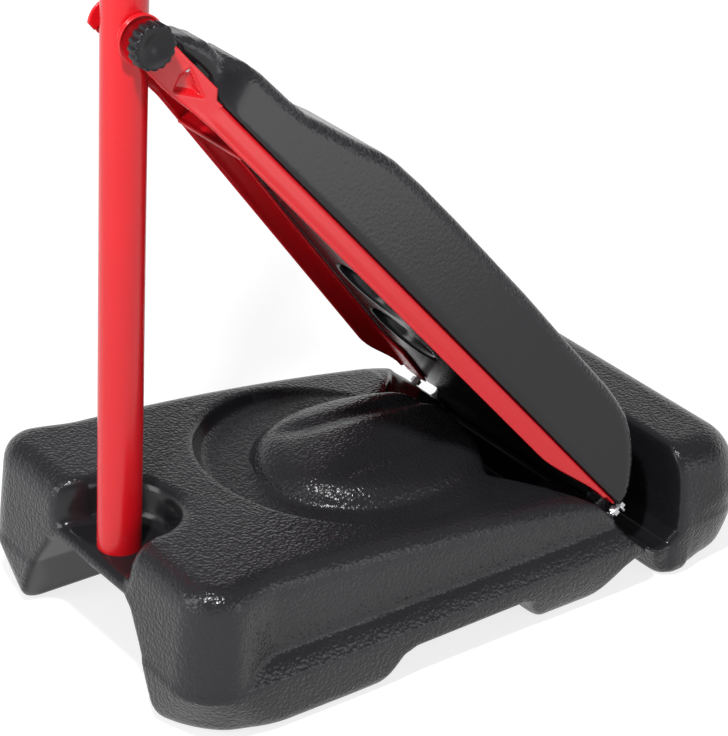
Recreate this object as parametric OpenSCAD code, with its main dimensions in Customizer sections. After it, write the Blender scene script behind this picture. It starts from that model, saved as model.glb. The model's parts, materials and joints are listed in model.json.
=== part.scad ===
// Spring reflex bag: a hollow ballast base, a post held by a sloping brace
// that carries a second ballast tank, a height-adjustable mast, and a striking
// ball on a coil spring. Millimetres, +Z up, +X from the post to the raised end
// of the base, origin on the floor below the middle of the whole.

/* [Base tank] */
// Length of the base
base_len = 820; // [760:5:900]
// Width of the base
base_w = 460; // [420:5:520]
// Plan radius of the base's corners
base_corner_r = 62; // [50:1:80]
// Wall thickness of the moulded tanks
tank_wall = 4; // [3:0.5:6]
// Height of the widest line of the base
parting_z = 62; // [55:1:70]
// Height of the crease between the lower band and the sloping side
crease_z = 84; // [76:1:92]
// How far the sloping side stands in from the widest line
crease_inset = 20; // [14:1:26]
// Height of the deck beside the post
deck_z_post = 186; // [180:1:200]
// Height of the deck a third of the way along
deck_z_mid = 171; // [164:1:178]
// Height of the deck at the seat
deck_z_seat = 118; // [110:1:124]
// Radius of the deck's soft edge
deck_edge = 22; // [14:1:28]
// Height of the raised end block
block_z = 160; // [150:1:166]
// Distance of the block's inner face from the block end
block_len = 118; // [100:1:130]
// Distance of the long side arch from the post's axis
long_arch_at = 206; // [190:1:220]
// Length of the long side arch at the floor
long_arch_len = 240; // [210:1:260]
// Height of the long side arch
long_arch_z = 40; // [30:1:44]
// Distance of the short side arch from the post's axis
short_arch_at = 521; // [505:1:530]
// Length of the short side arch at the floor
short_arch_len = 110; // [96:1:120]
// Height of the short side arch
short_arch_z = 45; // [34:1:48]
// Height of the arch between the two feet under the post
end_arch_z = 122; // [100:1:126]
// How far the arch under the post reaches in from the end
end_arch_len = 142; // [110:1:150]

/* [Post place and notch] */
// Distance of the post's axis from the end of the base
post_inset = 45; // [40:1:55]
// Height of the floor that the post stands on
notch_floor_z = 139; // [134:1:150]
// Radius of the round end of the notch
notch_r = 64; // [55:1:75]
// Half width of the notch where it opens at the end of the base
notch_mouth = 76; // [66:1:86]

/* [Bowl and island] */
// Distance of the bowl's centre from the post's axis
bowl_from_post = 312; // [300:1:324]
// Radius of the bowl at its floor
bowl_r = 166; // [150:1:172]
// How far the bowl's wall leans out
bowl_lean = 18; // [6:1:24]
// Height of the bowl's floor
bowl_z = 150; // [144:1:156]
// Length of the island in the bowl
island_len = 298; // [260:1:310]
// Width of the island
island_w = 238; // [200:1:250]
// Height of the island above its foot
island_h = 30; // [20:1:36]
// Tilt of the island towards the seat, in degrees
island_tilt = 7.5; // [4:0.5:9]

/* [Seat for the brace] */
// Distance of the heel's axis from the block end of the base
seat_from_end = 193.8; // [186:0.1:200]
// Height of the heel's axis
seat_z = 96.8; // [95:0.1:99]
// Depth of the recess floor above the ground
recess_z = 58; // [52:1:64]
// Half width of the recess
recess_half_w = 158; // [150:1:170]
// Radius of the bulging front wall of the recess
recess_nose_r = 350; // [300:5:420]
// Height of the channel's lowest line
channel_z = 46; // [42:1:52]
// Half length of the moulded heel and of its seat
heel_half_len = 148; // [120:1:155]
// Radius of the heel that the brace rocks on
heel_r = 14; // [10:0.5:16]
// Running gap between the heel and its groove
heel_gap = 0.5; // [0.3:0.1:1]

/* [Lower post] */
// Outside diameter of the lower post
post_d = 50; // [46:1:56]
// Wall thickness of the lower post
post_wall = 2.5; // [2:0.1:3]
// Height of the top of the lower post
post_top_z = 1060; // [1040:5:1100]
// Diameter of the post's foot bolt
foot_bolt_d = 12; // [10:1:14]

/* [Clamp at the brace] */
// Height of the clamp bolt
clamp_z = 747; // [720:1:760]
// Diameter of the clamp bolt
clamp_bolt_d = 10; // [8:1:12]
// Radius of the brace's ears
ear_r = 27; // [24:0.5:30]
// Thickness of the round discs on the clamp bolt
disc_t = 3; // [2:0.5:4]
// Diameter of the star knobs
knob_d = 51; // [48:1:60]
// Thickness of a star knob's scalloped head
knob_t = 17; // [15:1:20]
// Height of the hub behind the head
knob_hub = 10; // [6:1:14]
// Number of lobes round a star knob
knob_lobes = 16; // [10:1:20]

/* [Brace] */
// Angle at which each rail spreads from the middle, in degrees
brace_flare = 11.8; // [11.3:0.1:12.2]
// Thickness of the steel sheet
steel_t = 3.5; // [3:0.1:4]
// Height of the rail's top face above the clamp bolt
rail_top = 13.4; // [12:0.1:15]
// Depth of the rail's flange
rail_depth = 25; // [20:0.5:27]
// Width of the rail's top leg
rail_leg = 14; // [10:1:18]
// Width of the tab at the rail's lower end
tab_w = 36; // [30:1:40]
// Length of the rail's tab at its full width
tab_len = 88; // [70:1:96]
// How far the tab reaches past the heel's axis
tab_over = 15.4; // [10:0.2:17]
// How far before the heel's axis the flange ends
flange_gap = 12; // [8:1:40]
// Length over which the flange's end sweeps up
flange_sweep = 115; // [60:1:150]
// Length of the deep cheek behind the neck's bend
cheek_len = 80; // [70:1:90]
// Distance of the cross web from the clamp bolt
web_at = 176; // [150:1:190]
// Length of the web's turned lower leg
web_leg = 14; // [10:1:20]
// Diameter of the tank bolts
tank_bolt_d = 8; // [6:1:9]

/* [Upper tank] */
// Height of the main body above the clamp bolt
tank_top = 110; // [100:1:112]
// Height of the low front part of the tank
tank_low_top = 68; // [62:1:74]
// Height of the nose over the brace's neck
nose_top = 51; // [46:1:55]
// Rounding of the tank's upper edges
tank_edge_r = 12; // [8:0.5:14]
// How far the flanks lean in
tank_lean = 12; // [6:1:16]
// Distance of the upper tank's filler from the clamp bolt
tank_filler_u = 510; // [490:1:530]

/* [Filler caps] */
// Diameter of the filler neck's hole
filler_d = 38; // [30:1:44]
// Diameter of the filler cap's head
cap_d = 54; // [48:1:60]
// Height of the filler cap's head
cap_h = 10; // [8:1:14]

/* [Mast] */
// Outside diameter of the mast
mast_d = 38; // [36:0.5:40]
// Wall thickness of the mast
mast_wall = 2; // [1.5:0.1:3]
// Height of the mast's lower end
mast_low_z = 772; // [765:1:790]
// Height of the mast's top
mast_top_z = 1120; // [1110:5:1200]
// Height of the clamp collar
collar_h = 50; // [40:1:60]
// Thickness of the clamp collar
collar_t = 7; // [5:0.5:10]
// Diameter of the height screw
height_screw_d = 8; // [6:1:10]

/* [Spring] */
// Outside diameter of the spring
spring_d = 46; // [42:1:50]
// Diameter of the spring wire
wire_d = 6; // [5:0.5:6.5]
// Free length between the two ferrules
spring_len = 130; // [120:1:150]
// Number of whole turns in the coil
spring_turns = 15; // [8:1:15]
// Height of each spring ferrule
ferrule_h = 40; // [34:1:50]

/* [Ball] */
// Outside diameter of the ball
ball_d = 240; // [220:5:260]
// Thickness of the ball's cover
cover_t = 3; // [2:0.5:4]
// Thickness of the foam lining
lining_t = 9; // [6:0.5:12]
// Thickness of the air bladder
bladder_t = 1.5; // [1:0.1:2]
// Diameter of the stud that carries the ball
stud_d = 12; // [10:1:14]
// Radius of the seat dish under the ball
dish_r = 45; // [38:1:52]

/* [Clearances] */
// Gap between pieces that only touch
fit_gap = 0.2; // [0.1:0.05:0.4]
// Radial gap of a sliding or turning fit
run_gap = 0.06; // [0.03:0.01:0.1]
// Gap between the brace and what it swings past
swing_gap = 0.5; // [0.3:0.1:1]

/* [Hidden] */
$fn = 64;

half_len = base_len / 2;
half_w = base_w / 2;
// The base is drawn about its own middle; the ball overhangs its end, so the base
// stands off the origin by half of that overhang
base_x = (ball_d / 2 - post_inset) / 2;
post_local = post_inset - half_len;
post_x = base_x + post_local;
post_r = post_d / 2;
post_bore = post_r - post_wall;
eps = 0.1;

// Colours
plastic = [0.13, 0.13, 0.14];
glossy_black = [0.08, 0.08, 0.09];
red = [0.8, 0.06, 0.09];
zinc = [0.72, 0.73, 0.75];
rubber = [0.06, 0.06, 0.06];

// The brace spans from the clamp bolt to the heel, whose axis stands heel_w off the line
// that runs down the brace through the bolt
heel_w = rail_top + 0.6;
heel_local = half_len - seat_from_end;
heel_x = base_x + heel_local;
heel_z = seat_z;
brace_run = heel_x - post_x;
brace_drop = clamp_z - seat_z;
bolt_to_heel = norm([brace_run, brace_drop]);
brace_len = sqrt(bolt_to_heel * bolt_to_heel - heel_w * heel_w);
brace_angle = atan2(brace_drop, brace_run) + asin(heel_w / bolt_to_heel);

// Brace's own frame: X runs down the brace from the clamp bolt, Z stands square off it
module in_brace() {
    translate([post_x, 0, clamp_z]) rotate([0, brace_angle, 0]) children();
}
ear_in = post_r + swing_gap;
ear_out = ear_in + steel_t;
neck_u = 28;
function rail_y(u) = ear_out + (u - neck_u) * tan(brace_flare);

// Flat layers with rounded corners, joined into one convex form.
// Each layer is [inset, height at x0, height at xm, height at x1].
module layered(x0, xm, x1, layers, r0, r1) {
    hull() for (l = layers) for (s = [-1, 1]) {
        ra = max(r0 - l[0], 8);
        rb = max(r1 - l[0], 8);
        y = half_w - l[0];
        translate([x0 + l[0] + ra, s * (y - ra), l[1]]) cylinder(r = ra, h = eps, $fn = 32);
        translate([xm, s * (y - 1), l[2]]) cylinder(r = 1, h = eps, $fn = 8);
        translate([x1 - l[0] - rb, s * (y - rb), l[3]]) cylinder(r = rb, h = eps, $fn = 32);
    }
}

// A side outline in X and Z, drawn through the whole width
module across(points, w) {
    translate([0, w / 2, 0]) rotate([90, 0, 0]) linear_extrude(w) polygon(points);
}

function arc(x, y, r, a0, a1, n) = [for (i = [0 : n]) let (a = a0 + (a1 - a0) * i / n)
    [x + r * cos(a), y + r * sin(a)]];

/* Base tank */
block_x = half_len - block_len;
deck_end_x = 205;
deck_mid_x = -150;

module deck_form(g) {
    top = [deck_z_post, deck_z_mid, deck_z_seat];
    function layer(inset, drop) = [inset + g, top[0] - drop - g, top[1] - drop - g, top[2] - drop - g];
    layered(-half_len, deck_mid_x, deck_end_x + 60, [
        [crease_inset + 2 + g, crease_z - 14, crease_z - 14, crease_z - 14],
        layer(crease_inset + 6, deck_edge),
        layer(crease_inset + 10, deck_edge * 0.45),
        layer(crease_inset + 17, deck_edge * 0.12),
        layer(crease_inset + 30, 0)
    ], base_corner_r + 14, 40);
}

module band_form(g) {
    function layer(inset, z) = [inset + g, z, z, z];
    layered(-half_len, 0, half_len, [
        layer(20, g), layer(12, 8 + g), layer(3, 42), layer(0, parting_z),
        layer(4, parting_z + 12), layer(crease_inset, crease_z - g)
    ], base_corner_r, base_corner_r);
}

module block_form(g) {
    x0 = block_x + g;
    layers = [[14, 60], [18, block_z - 36 - g], [24, block_z - 12 - g], [34, block_z - 2 - g], [48, block_z - g]];
    hull() for (l = layers) for (s = [-1, 1]) {
        r = max(base_corner_r - l[0] - g, 8);
        y = half_w - l[0] - g;
        lip = l[1] > block_z - 12 - g ? 14 : 0;
        translate([half_len - l[0] - g - r, s * (y - r), l[1]]) cylinder(r = r, h = eps, $fn = 32);
        translate([x0 + lip + 10, s * (y - 10), l[1]]) cylinder(r = 10, h = eps, $fn = 16);
    }
}

// Plan outline of the post's notch
module notch_plan(g) {
    polygon(concat(arc(post_local, 0, notch_r + g, 90, -90, 32), [
        [-half_len - 1, -notch_mouth - g], [-half_len - 1, notch_mouth + g]
    ]));
}

module notch_cut(g) {
    translate([0, 0, notch_floor_z - g]) linear_extrude(200) notch_plan(g);
}

module bowl_cut(g) {
    h = 40;
    translate([post_local + bowl_from_post, 0, bowl_z - g])
        cylinder(r1 = bowl_r + g, r2 = bowl_r + g + bowl_lean, h = h, $fn = 128);
}

module island() {
    a = island_len / 2;
    b = island_w / 2;
    foot = 14;
    layers = [[1, -foot], [0.99, 6], [0.93, island_h * 0.45], [0.8, island_h * 0.75], [0.55, island_h]];
    translate([post_local + bowl_from_post + 38, 0, bowl_z - 8]) rotate([0, island_tilt, 0])
        hull() for (l = layers) translate([0, 0, l[1]])
            scale([a / b, 1, 1]) cylinder(r = b * l[0], h = eps, $fn = 48);
}

// Channel across the base that takes the lower end of the brace
module channel_cut(g) {
    face = block_x - g;
    across([
        [deck_end_x - 40 - g, deck_z_seat + 80], [heel_local - 46 - g, deck_z_seat - g],
        [heel_local - 8 - g, 72 - g], [heel_local + 20, channel_z + 6 - g],
        [heel_local + 36, channel_z - g], [heel_local + 52, channel_z + 4 - g],
        [face - 10, channel_z + 22 - g / 2], [face - 3, 96], [face, block_z + 60]
    ], base_w + 10);
}

module recess_cut(g) {
    front = heel_local - 72;
    difference() {
        translate([front - 75 - g, -recess_half_w - g, recess_z - g])
            cube([heel_local + 40 - front + 75, 2 * (recess_half_w + g), 200]);
        translate([front - recess_nose_r - g, 0, 0]) cylinder(r = recess_nose_r, h = 300, $fn = 160);
        if (g == 0) for (s = [-1, 1]) scale([1, s, 1])
            translate([front - 84, 104, 0]) cube([118, recess_half_w, 106]);
    }
}

module seat_rib(g) {
    difference() {
        translate([heel_local - 26 + g, -heel_half_len + g, recess_z - 16])
            cube([52 - 2 * g, 2 * (heel_half_len - g), heel_z - recess_z + 12 - g]);
        translate([heel_local, 0, heel_z]) rotate([90, 0, 0])
            cylinder(r = heel_r + heel_gap + g, h = 2 * half_w, center = true);
    }
}

// Arch across the base, its two ends sloping by run_in and run_out
module side_arch(from, length, run_in, run_out, top, g) {
    x0 = post_local + from;
    x1 = x0 + length;
    across([
        [x0 - g, -1], [x0 + run_in - g, top - 6 + g], [x0 + run_in + 10, top + g],
        [x1 - run_out - 10, top + g], [x1 - run_out + g, top - 6 + g], [x1 + g, -1]
    ], base_w + 10);
}

module arch_cuts(g) {
    side_arch(long_arch_at, long_arch_len, 33, 22, long_arch_z, g);
    side_arch(short_arch_at, short_arch_len, 45, 14, short_arch_z, g);
    top = end_arch_z + g;
    translate([-half_len - 1, 0, 0]) rotate([90, 0, 90]) linear_extrude(end_arch_len + 1 + g)
        polygon([[-138 - g, -1], [-124 - g, 36], [-86 - g, top - 14], [-68 - g, top], [68 + g, top],
            [86 + g, top - 14], [124 + g, 36], [138 + g, -1]]);
}

base_filler = [base_x + half_len - 75, half_w - 108, block_z];

module tank_outer(g) {
    difference() {
        union() {
            deck_form(g);
            band_form(g);
            block_form(g);
        }
        notch_cut(g);
        bowl_cut(g);
        channel_cut(g);
        recess_cut(g);
        arch_cuts(g);
    }
}

module base_tank() color(plastic) difference() {
    translate([base_x, 0, 0]) union() {
        tank_outer(0);
        difference() {
            island();
            recess_cut(0);
        }
        seat_rib(0);
    }
    translate([base_x, 0, 0]) difference() {
        tank_outer(tank_wall);
        translate([post_local, 0, 0]) cylinder(r = 2 * foot_bolt_d, h = deck_z_post);
        translate([heel_local - 30, -heel_half_len - 4, 0]) cube([60, 2 * heel_half_len + 8, heel_z]);
    }
    translate([post_x, 0, 0]) cylinder(d = foot_bolt_d + 1, h = deck_z_post);
    translate(base_filler - [0, 0, 12]) cylinder(d = filler_d, h = 20);
}

module filler_cap(neck_r) {
    ribs = 24;
    difference() {
        union() {
            translate([0, 0, 3]) cylinder(d = cap_d - 4, h = cap_h);
            for (i = [0 : ribs - 1]) rotate([0, 0, (i + 0.5) * 360 / ribs])
                translate([cap_d / 2 - 5, -1.6, 3.5]) cube([5, 3.2, cap_h - 1.5]);
            translate([0, 0, -9]) cylinder(r = neck_r, h = 12 + eps);
        }
        translate([0, 0, -10]) cylinder(r = neck_r - 3, h = 14);
        for (s = [-1, 1]) translate([s * 13, 0, cap_h + 3]) cube([14, 20, 8], center = true);
    }
}

module filler_gasket(neck_r) {
    difference() {
        translate([0, 0, fit_gap / 2]) cylinder(d = cap_d - 8, h = 3 - fit_gap);
        translate([0, 0, -1]) cylinder(r = neck_r + fit_gap, h = 6);
    }
}

module base_cap() color(glossy_black) translate(base_filler) filler_cap(filler_d / 2 - 0.4);
module base_cap_gasket() color(rubber) translate(base_filler) filler_gasket(filler_d / 2 - 0.4);

/* Post and its foot */
module foot_washer() color(zinc) translate([post_x, 0, end_arch_z - 3]) difference() {
    cylinder(d = 3 * foot_bolt_d, h = 3);
    translate([0, 0, -1]) cylinder(d = foot_bolt_d + 1, h = 5);
}

module foot_bolt() color(zinc) translate([post_x, 0, end_arch_z - 3]) {
    translate([0, 0, -8]) cylinder(d = 1.8 * foot_bolt_d, h = 8, $fn = 6);
    translate([0, 0, -eps]) cylinder(d = foot_bolt_d, h = notch_floor_z - end_arch_z + 3 + 34);
}

module foot_plug() color(glossy_black) translate([post_x, 0, notch_floor_z]) difference() {
    cylinder(r = post_bore - fit_gap, h = 40);
    translate([0, 0, -1]) cylinder(r = foot_bolt_d / 2 + run_gap, h = 42);
}

module lower_post() color(red) difference() {
    translate([post_x, 0, notch_floor_z]) cylinder(d = post_d, h = post_top_z - notch_floor_z);
    translate([post_x, 0, notch_floor_z - 1]) cylinder(r = post_bore, h = post_top_z);
    translate([post_x, 0, clamp_z]) rotate([90, 0, 0]) cylinder(d = clamp_bolt_d + 0.6, h = 80, center = true);
    translate([post_x, 0, post_top_z - collar_h / 2]) rotate([90, 0, 0]) cylinder(d = height_screw_d + 1, h = 60);
}

// Crush sleeve that keeps the clamp bolt from squeezing the tube flat
module post_sleeve() color(zinc) translate([post_x, 0, clamp_z]) rotate([90, 0, 0]) difference() {
    cylinder(d = clamp_bolt_d + 5, h = 2 * (post_bore - 2), center = true);
    cylinder(r = clamp_bolt_d / 2 + run_gap, h = post_d, center = true);
}

module collar() color(glossy_black) translate([post_x, 0, 0]) difference() {
    union() {
        translate([0, 0, post_top_z - collar_h]) cylinder(r = post_r + collar_t, h = collar_h + 5);
        translate([0, 0, post_top_z - collar_h / 2]) rotate([90, 0, 0]) cylinder(d = 26, h = post_r + collar_t + 6);
    }
    translate([0, 0, post_top_z - collar_h - 1]) cylinder(r = post_r + fit_gap, h = collar_h + 1 + fit_gap);
    cylinder(r = mast_d / 2 + swing_gap, h = post_top_z + 20);
    translate([0, 0, post_top_z - collar_h / 2]) rotate([90, 0, 0])
        cylinder(r = height_screw_d / 2 + run_gap, h = post_d + 40);
}

module collar_bush() color(plastic) translate([post_x, 0, post_top_z - 90]) difference() {
    cylinder(r = post_bore - fit_gap, h = 90);
    translate([0, 0, -1]) cylinder(r = mast_d / 2 + run_gap, h = 92);
    translate([0, 0, 90 - collar_h / 2]) rotate([90, 0, 0]) cylinder(d = height_screw_d + 1, h = 60);
}

/* Clamp */
knob_back = ear_out + swing_gap + disc_t + fit_gap;

module clamp_bolt() color(zinc) translate([post_x, 0, clamp_z]) rotate([90, 0, 0]) {
    head_y = ear_out + swing_gap + disc_t + fit_gap;
    translate([0, 0, -head_y]) cylinder(d = clamp_bolt_d, h = head_y + knob_back + 12);
    translate([0, 0, -head_y - 6]) cylinder(d1 = 14, d2 = 22, h = 3);
    translate([0, 0, -head_y - 3]) cylinder(d = 22, h = 3);
}

module clamp_disc() {
    difference() {
        union() {
            cylinder(r = ear_r, h = disc_t - 1);
            rotate_extrude() translate([ear_r - 2.2, disc_t - 1.3]) circle(r = 1.3, $fn = 24);
        }
        translate([0, 0, -1]) cylinder(d = clamp_bolt_d + 0.6, h = disc_t + 2);
    }
}

module near_disc() color(red) translate([post_x, -ear_out - swing_gap, clamp_z]) rotate([90, 0, 0]) clamp_disc();
module far_disc() color(red) translate([post_x, ear_out + swing_gap, clamp_z]) rotate([-90, 0, 0]) clamp_disc();

// Scalloped hand knob, back face at Z = 0, dished front face
module star_knob_form(bore_r) {
    steps = knob_lobes * 8;
    depth = 1.5;
    r = knob_d / 2;
    outline = [for (i = [0 : steps - 1]) let (a = i * 360 / steps)
        (r - depth * (1 - cos(knob_lobes * a)) / 2) * [cos(a), sin(a)]];
    difference() {
        union() {
            cylinder(r = r * 0.5, h = knob_hub + eps);
            translate([0, 0, knob_hub]) linear_extrude(knob_t) polygon(outline);
        }
        translate([0, 0, knob_hub + knob_t + 38]) sphere(r = 46);
        translate([0, 0, -1]) cylinder(r = bore_r, h = 13);
    }
}

insert_r = clamp_bolt_d / 2 + 3;
module star_knob() color(glossy_black) translate([post_x, -knob_back, clamp_z]) rotate([90, 0, 0])
    star_knob_form(insert_r);
module knob_insert() color("goldenrod") translate([post_x, -knob_back, clamp_z]) rotate([90, 0, 0])
    difference() {
        cylinder(r = insert_r - run_gap, h = 11.8);
        translate([0, 0, -1]) cylinder(r = clamp_bolt_d / 2 + run_gap, h = 14);
    }

/* Brace */
flare_cos = cos(brace_flare);
// Place along the rail, measured from the bend at its neck
function along(u) = (u - neck_u) / flare_cos;

module in_rail() {
    translate([neck_u, ear_out, 0]) rotate([0, 0, brace_flare]) children();
}

tab_end = along(brace_len + tab_over);
flange_len = along(brace_len - flange_gap);
tab_hole = [tab_end - 24, -13];
rail_low = rail_top - rail_depth;
// The cheek's two edges at the neck, and how its lower one rises to the flange's
cheek_top = ear_r - 4.5;
cheek_low = -ear_r + 9;
function cheek_edge(t) = cheek_low + 0.6 + (rail_low - cheek_low - 0.6) * t * t * (3 - 2 * t);
function sweep_edge(t) = rail_low + (rail_depth - 2 * steel_t) * t * t * (3 - 2 * t);

module far_rail() color(red) in_brace() difference() {
    union() {
        // Ear, cut straight along its lower edge
        translate([0, ear_out, 0]) rotate([90, 0, 0]) linear_extrude(steel_t) union() {
            intersection() {
                circle(r = ear_r);
                translate([-2 * ear_r, cheek_low]) square(3 * ear_r);
            }
            polygon([[0, cheek_low], [neck_u + 0.6, cheek_low], [neck_u + 0.6, cheek_top], [0, ear_r - 0.5]]);
        }
        in_rail() {
            // Cheek and flange, with the flange's end swept up
            rotate([90, 0, 0]) linear_extrude(steel_t) polygon(concat(
                [[0, cheek_low + 0.4]],
                [for (i = [0 : 6]) [cheek_len * (0.25 + i / 6), cheek_edge(i / 6)]],
                [for (i = [0 : 8]) [flange_len + flange_sweep * (i / 8 - 1), sweep_edge(i / 8)]],
                [[flange_len, rail_top], [cheek_len + 6, rail_top], [cheek_len, cheek_top], [0, cheek_top - 0.6]]));
            // Top leg and the tab that the tank bolt goes through
            translate([0, 0, rail_top - steel_t]) linear_extrude(steel_t) polygon([
                [cheek_len + 18, -rail_leg], [tab_end - tab_len - 40, -rail_leg], [tab_end - tab_len, -tab_w],
                [tab_end - 8, -tab_w], [tab_end, -tab_w + 8], [tab_end, -6], [tab_end - 6, 0],
                [cheek_len + 18, 0]
            ]);
        }
    }
    // Slot that lets the ear lift off the clamp bolt
    rotate([90, 0, 0]) translate([0, 0, -ear_out - 1]) linear_extrude(steel_t + 4) union() {
        circle(d = clamp_bolt_d + 1);
        polygon([[-clamp_bolt_d / 2 - 0.5, 0], [-clamp_bolt_d / 2 - 3, -ear_r - 5],
            [clamp_bolt_d / 2 + 3, -ear_r - 5], [clamp_bolt_d / 2 + 0.5, 0]]);
    }
    in_rail() translate([tab_hole[0], tab_hole[1], 0]) cylinder(d = tank_bolt_d + 0.6, h = 40);
    rotate([90, 0, 0]) translate([neck_at[0], neck_at[1], -60])
        cylinder(r = neck_screw_d / 2 + run_gap, h = 60);
}

module near_rail() mirror([0, 1, 0]) far_rail();

// Cross web between the rails: an upright plate with its lower leg turned down the brace
module web_plate(u0, u1, w0, w1) {
    half = [for (u = [u0, u1]) rail_y(u) - steel_t / flare_cos];
    translate([0, 0, w0]) linear_extrude(w1 - w0)
        polygon([[u0, -half[0]], [u1, -half[1]], [u1, half[1]], [u0, half[0]]]);
}
module web() color(red) in_brace() {
    web_plate(web_at, web_at + steel_t, rail_low, rail_top - steel_t);
    web_plate(web_at, web_at + web_leg, rail_low, rail_low + steel_t);
}

/* Upper tank */
tank_base = rail_top;
nose_base = cheek_top + fit_gap;
tank_u0 = 121;
tank_u1 = brace_len - 8;
shoulder_u = 325;
ramp_u = 190;
crown_u = 430;
crown_end = brace_len - 280;
end_u = brace_len - 68;

// Pairs of corner balls and feet that a part of the tank is drawn round
module tank_balls(u, w, r, g) {
    y = rail_y(u) - tank_lean * (w - tank_base) / (tank_top - tank_base) - 1;
    for (s = [-1, 1]) translate([u, s * (y - r), w - r]) sphere(r = max(r - g, 2), $fn = 24);
}
module tank_feet(u, w, g, tuck) {
    for (s = [-1, 1]) translate([u, s * (rail_y(u) - 4 - tuck), w + g])
        cylinder(r = max(3 - g / 2, 1), h = 4, $fn = 16);
}

module main_body(g) hull() {
    tank_feet(shoulder_u, tank_base, g, 0);
    tank_feet(tank_u1 - g, tank_base, g, 0);
    tank_balls(shoulder_u + 6, tank_top - 2, tank_edge_r, g);
    tank_balls(crown_u, tank_top, tank_edge_r, g);
    tank_balls(crown_end, tank_top, tank_edge_r, g);
    tank_balls(end_u, tank_top - 10, tank_edge_r, g);
}
module ramp_body(g) hull() {
    tank_feet(ramp_u, tank_base, g, 0.7);
    tank_feet(shoulder_u + 12, tank_base, g, 1.1);
    tank_balls(ramp_u + 4, tank_low_top + 1, tank_edge_r, g);
    tank_balls(shoulder_u + 18, tank_top - 3, tank_edge_r + 1, g);
}
module low_body(g) hull() {
    tank_feet(tank_u0 + g, tank_base, g, 1);
    tank_feet(ramp_u + 10, tank_base, g, 2);
    tank_balls(tank_u0 + 12, tank_low_top - 2, tank_edge_r, g);
    tank_balls(ramp_u + 14, tank_low_top - 0.5, tank_edge_r + 1, g);
}
module nose() hull() for (s = [-1, 1]) {
    translate([46, s * 18, nose_base + 8]) sphere(r = 8, $fn = 24);
    translate([66, s * 20, nose_top - 11]) sphere(r = 11, $fn = 24);
    translate([tank_u0 + 8, s * (rail_y(tank_u0) - 14), nose_top - 12]) sphere(r = 9, $fn = 24);
    translate([tank_u0 + 8, s * (rail_y(tank_u0) - 10), nose_base]) cylinder(r = 6, h = 2, $fn = 16);
    translate([46, s * 16, nose_base]) cylinder(r = 6, h = 2, $fn = 16);
}

neck_screw_d = 6;
neck_tube_d = neck_screw_d + 3;
neck_at = [neck_u + 38, 14];
neck_half = rail_y(neck_at[0]);
module at_neck() in_brace() translate([neck_at[0], 0, neck_at[1]]) rotate([90, 0, 0]) children();
module upper_tank() color(plastic) in_brace() {
    difference() {
        union() {
            nose();
            translate([neck_at[0] - 10, -22, neck_at[1] - 9]) cube([20, 44, 28]);
            low_body(0);
            ramp_body(0);
            main_body(0);
            translate([brace_len, 0, heel_w]) rotate([90, 0, 0])
                cylinder(r = heel_r, h = 2 * heel_half_len - 4, center = true);
        }
        low_body(tank_wall);
        ramp_body(tank_wall);
        difference() {
            main_body(tank_wall);
            for (s = [-1, 1]) scale([1, s, 1]) in_rail()
                translate([tab_hole[0], tab_hole[1] - 2, 0]) cylinder(r = 20, h = tank_top);
        }
        for (s = [-1, 1]) scale([1, s, 1]) in_rail() translate([tab_hole[0], tab_hole[1], 0])
            cylinder(r = 13, h = tank_base + 12);
        translate([tank_filler_u, 0, tank_top - 14]) cylinder(d = filler_d, h = 30);
        translate([neck_at[0], 0, neck_at[1]]) rotate([90, 0, 0])
            cylinder(d = neck_tube_d + 2 * fit_gap, h = 200, center = true);
    }
}

module at_tank_bolts() {
    for (s = [-1, 1]) scale([1, s, 1]) in_rail() translate([tab_hole[0], tab_hole[1], 0]) children();
}
module tank_bolts() color(zinc) in_brace() at_tank_bolts() {
    translate([0, 0, rail_top + 2]) cylinder(d = 1.7 * tank_bolt_d, h = 5, $fn = 6);
    translate([0, 0, rail_top - steel_t - 8.5]) cylinder(d = tank_bolt_d, h = steel_t + 10.5 + eps);
}
module tank_washers() color(zinc) in_brace() at_tank_bolts() difference() {
    translate([0, 0, rail_top]) cylinder(d = 2.6 * tank_bolt_d, h = 2);
    translate([0, 0, rail_top - 1]) cylinder(r = tank_bolt_d / 2 + run_gap, h = 4);
}
module tank_nuts() color(zinc) in_brace() at_tank_bolts() difference() {
    translate([0, 0, rail_top - steel_t - 6.5]) cylinder(d = 1.7 * tank_bolt_d, h = 6.5, $fn = 6);
    translate([0, 0, rail_top - steel_t - 8]) cylinder(r = tank_bolt_d / 2 + run_gap, h = 10);
}

// Spacer tube and flush pin that hold the tank's neck between the cheeks
module neck_tube() color(plastic) at_neck() difference() {
    cylinder(d = neck_tube_d, h = 2 * (neck_half - steel_t - 1), center = true);
    cylinder(r = neck_screw_d / 2 + run_gap, h = 80, center = true);
}
module neck_screw() color(zinc) at_neck() cylinder(d = neck_screw_d, h = 2 * neck_half - 2.4, center = true);

module tank_cap() color(glossy_black) in_brace() translate([tank_filler_u, 0, tank_top])
    filler_cap(filler_d / 2 - 0.4);
module tank_cap_gasket() color(rubber) in_brace() translate([tank_filler_u, 0, tank_top])
    filler_gasket(filler_d / 2 - 0.4);

/* Height clamp */
height_z = post_top_z - collar_h / 2;
height_back = post_r + collar_t + 6 + 4;

module height_screw() color(zinc) translate([post_x, 0, height_z]) rotate([90, 0, 0])
    translate([0, 0, mast_d / 2 + fit_gap]) cylinder(d = height_screw_d, h = height_back + 11 - mast_d / 2);

module height_knob() color(glossy_black) translate([post_x, -height_back, height_z]) rotate([90, 0, 0])
    star_knob_form(height_screw_d / 2 + run_gap);

/* Mast */
module mast() color(red) difference() {
    translate([post_x, 0, mast_low_z]) cylinder(d = mast_d, h = mast_top_z - mast_low_z);
    translate([post_x, 0, mast_low_z - 1]) cylinder(d = mast_d - 2 * mast_wall, h = mast_top_z);
}

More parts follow.
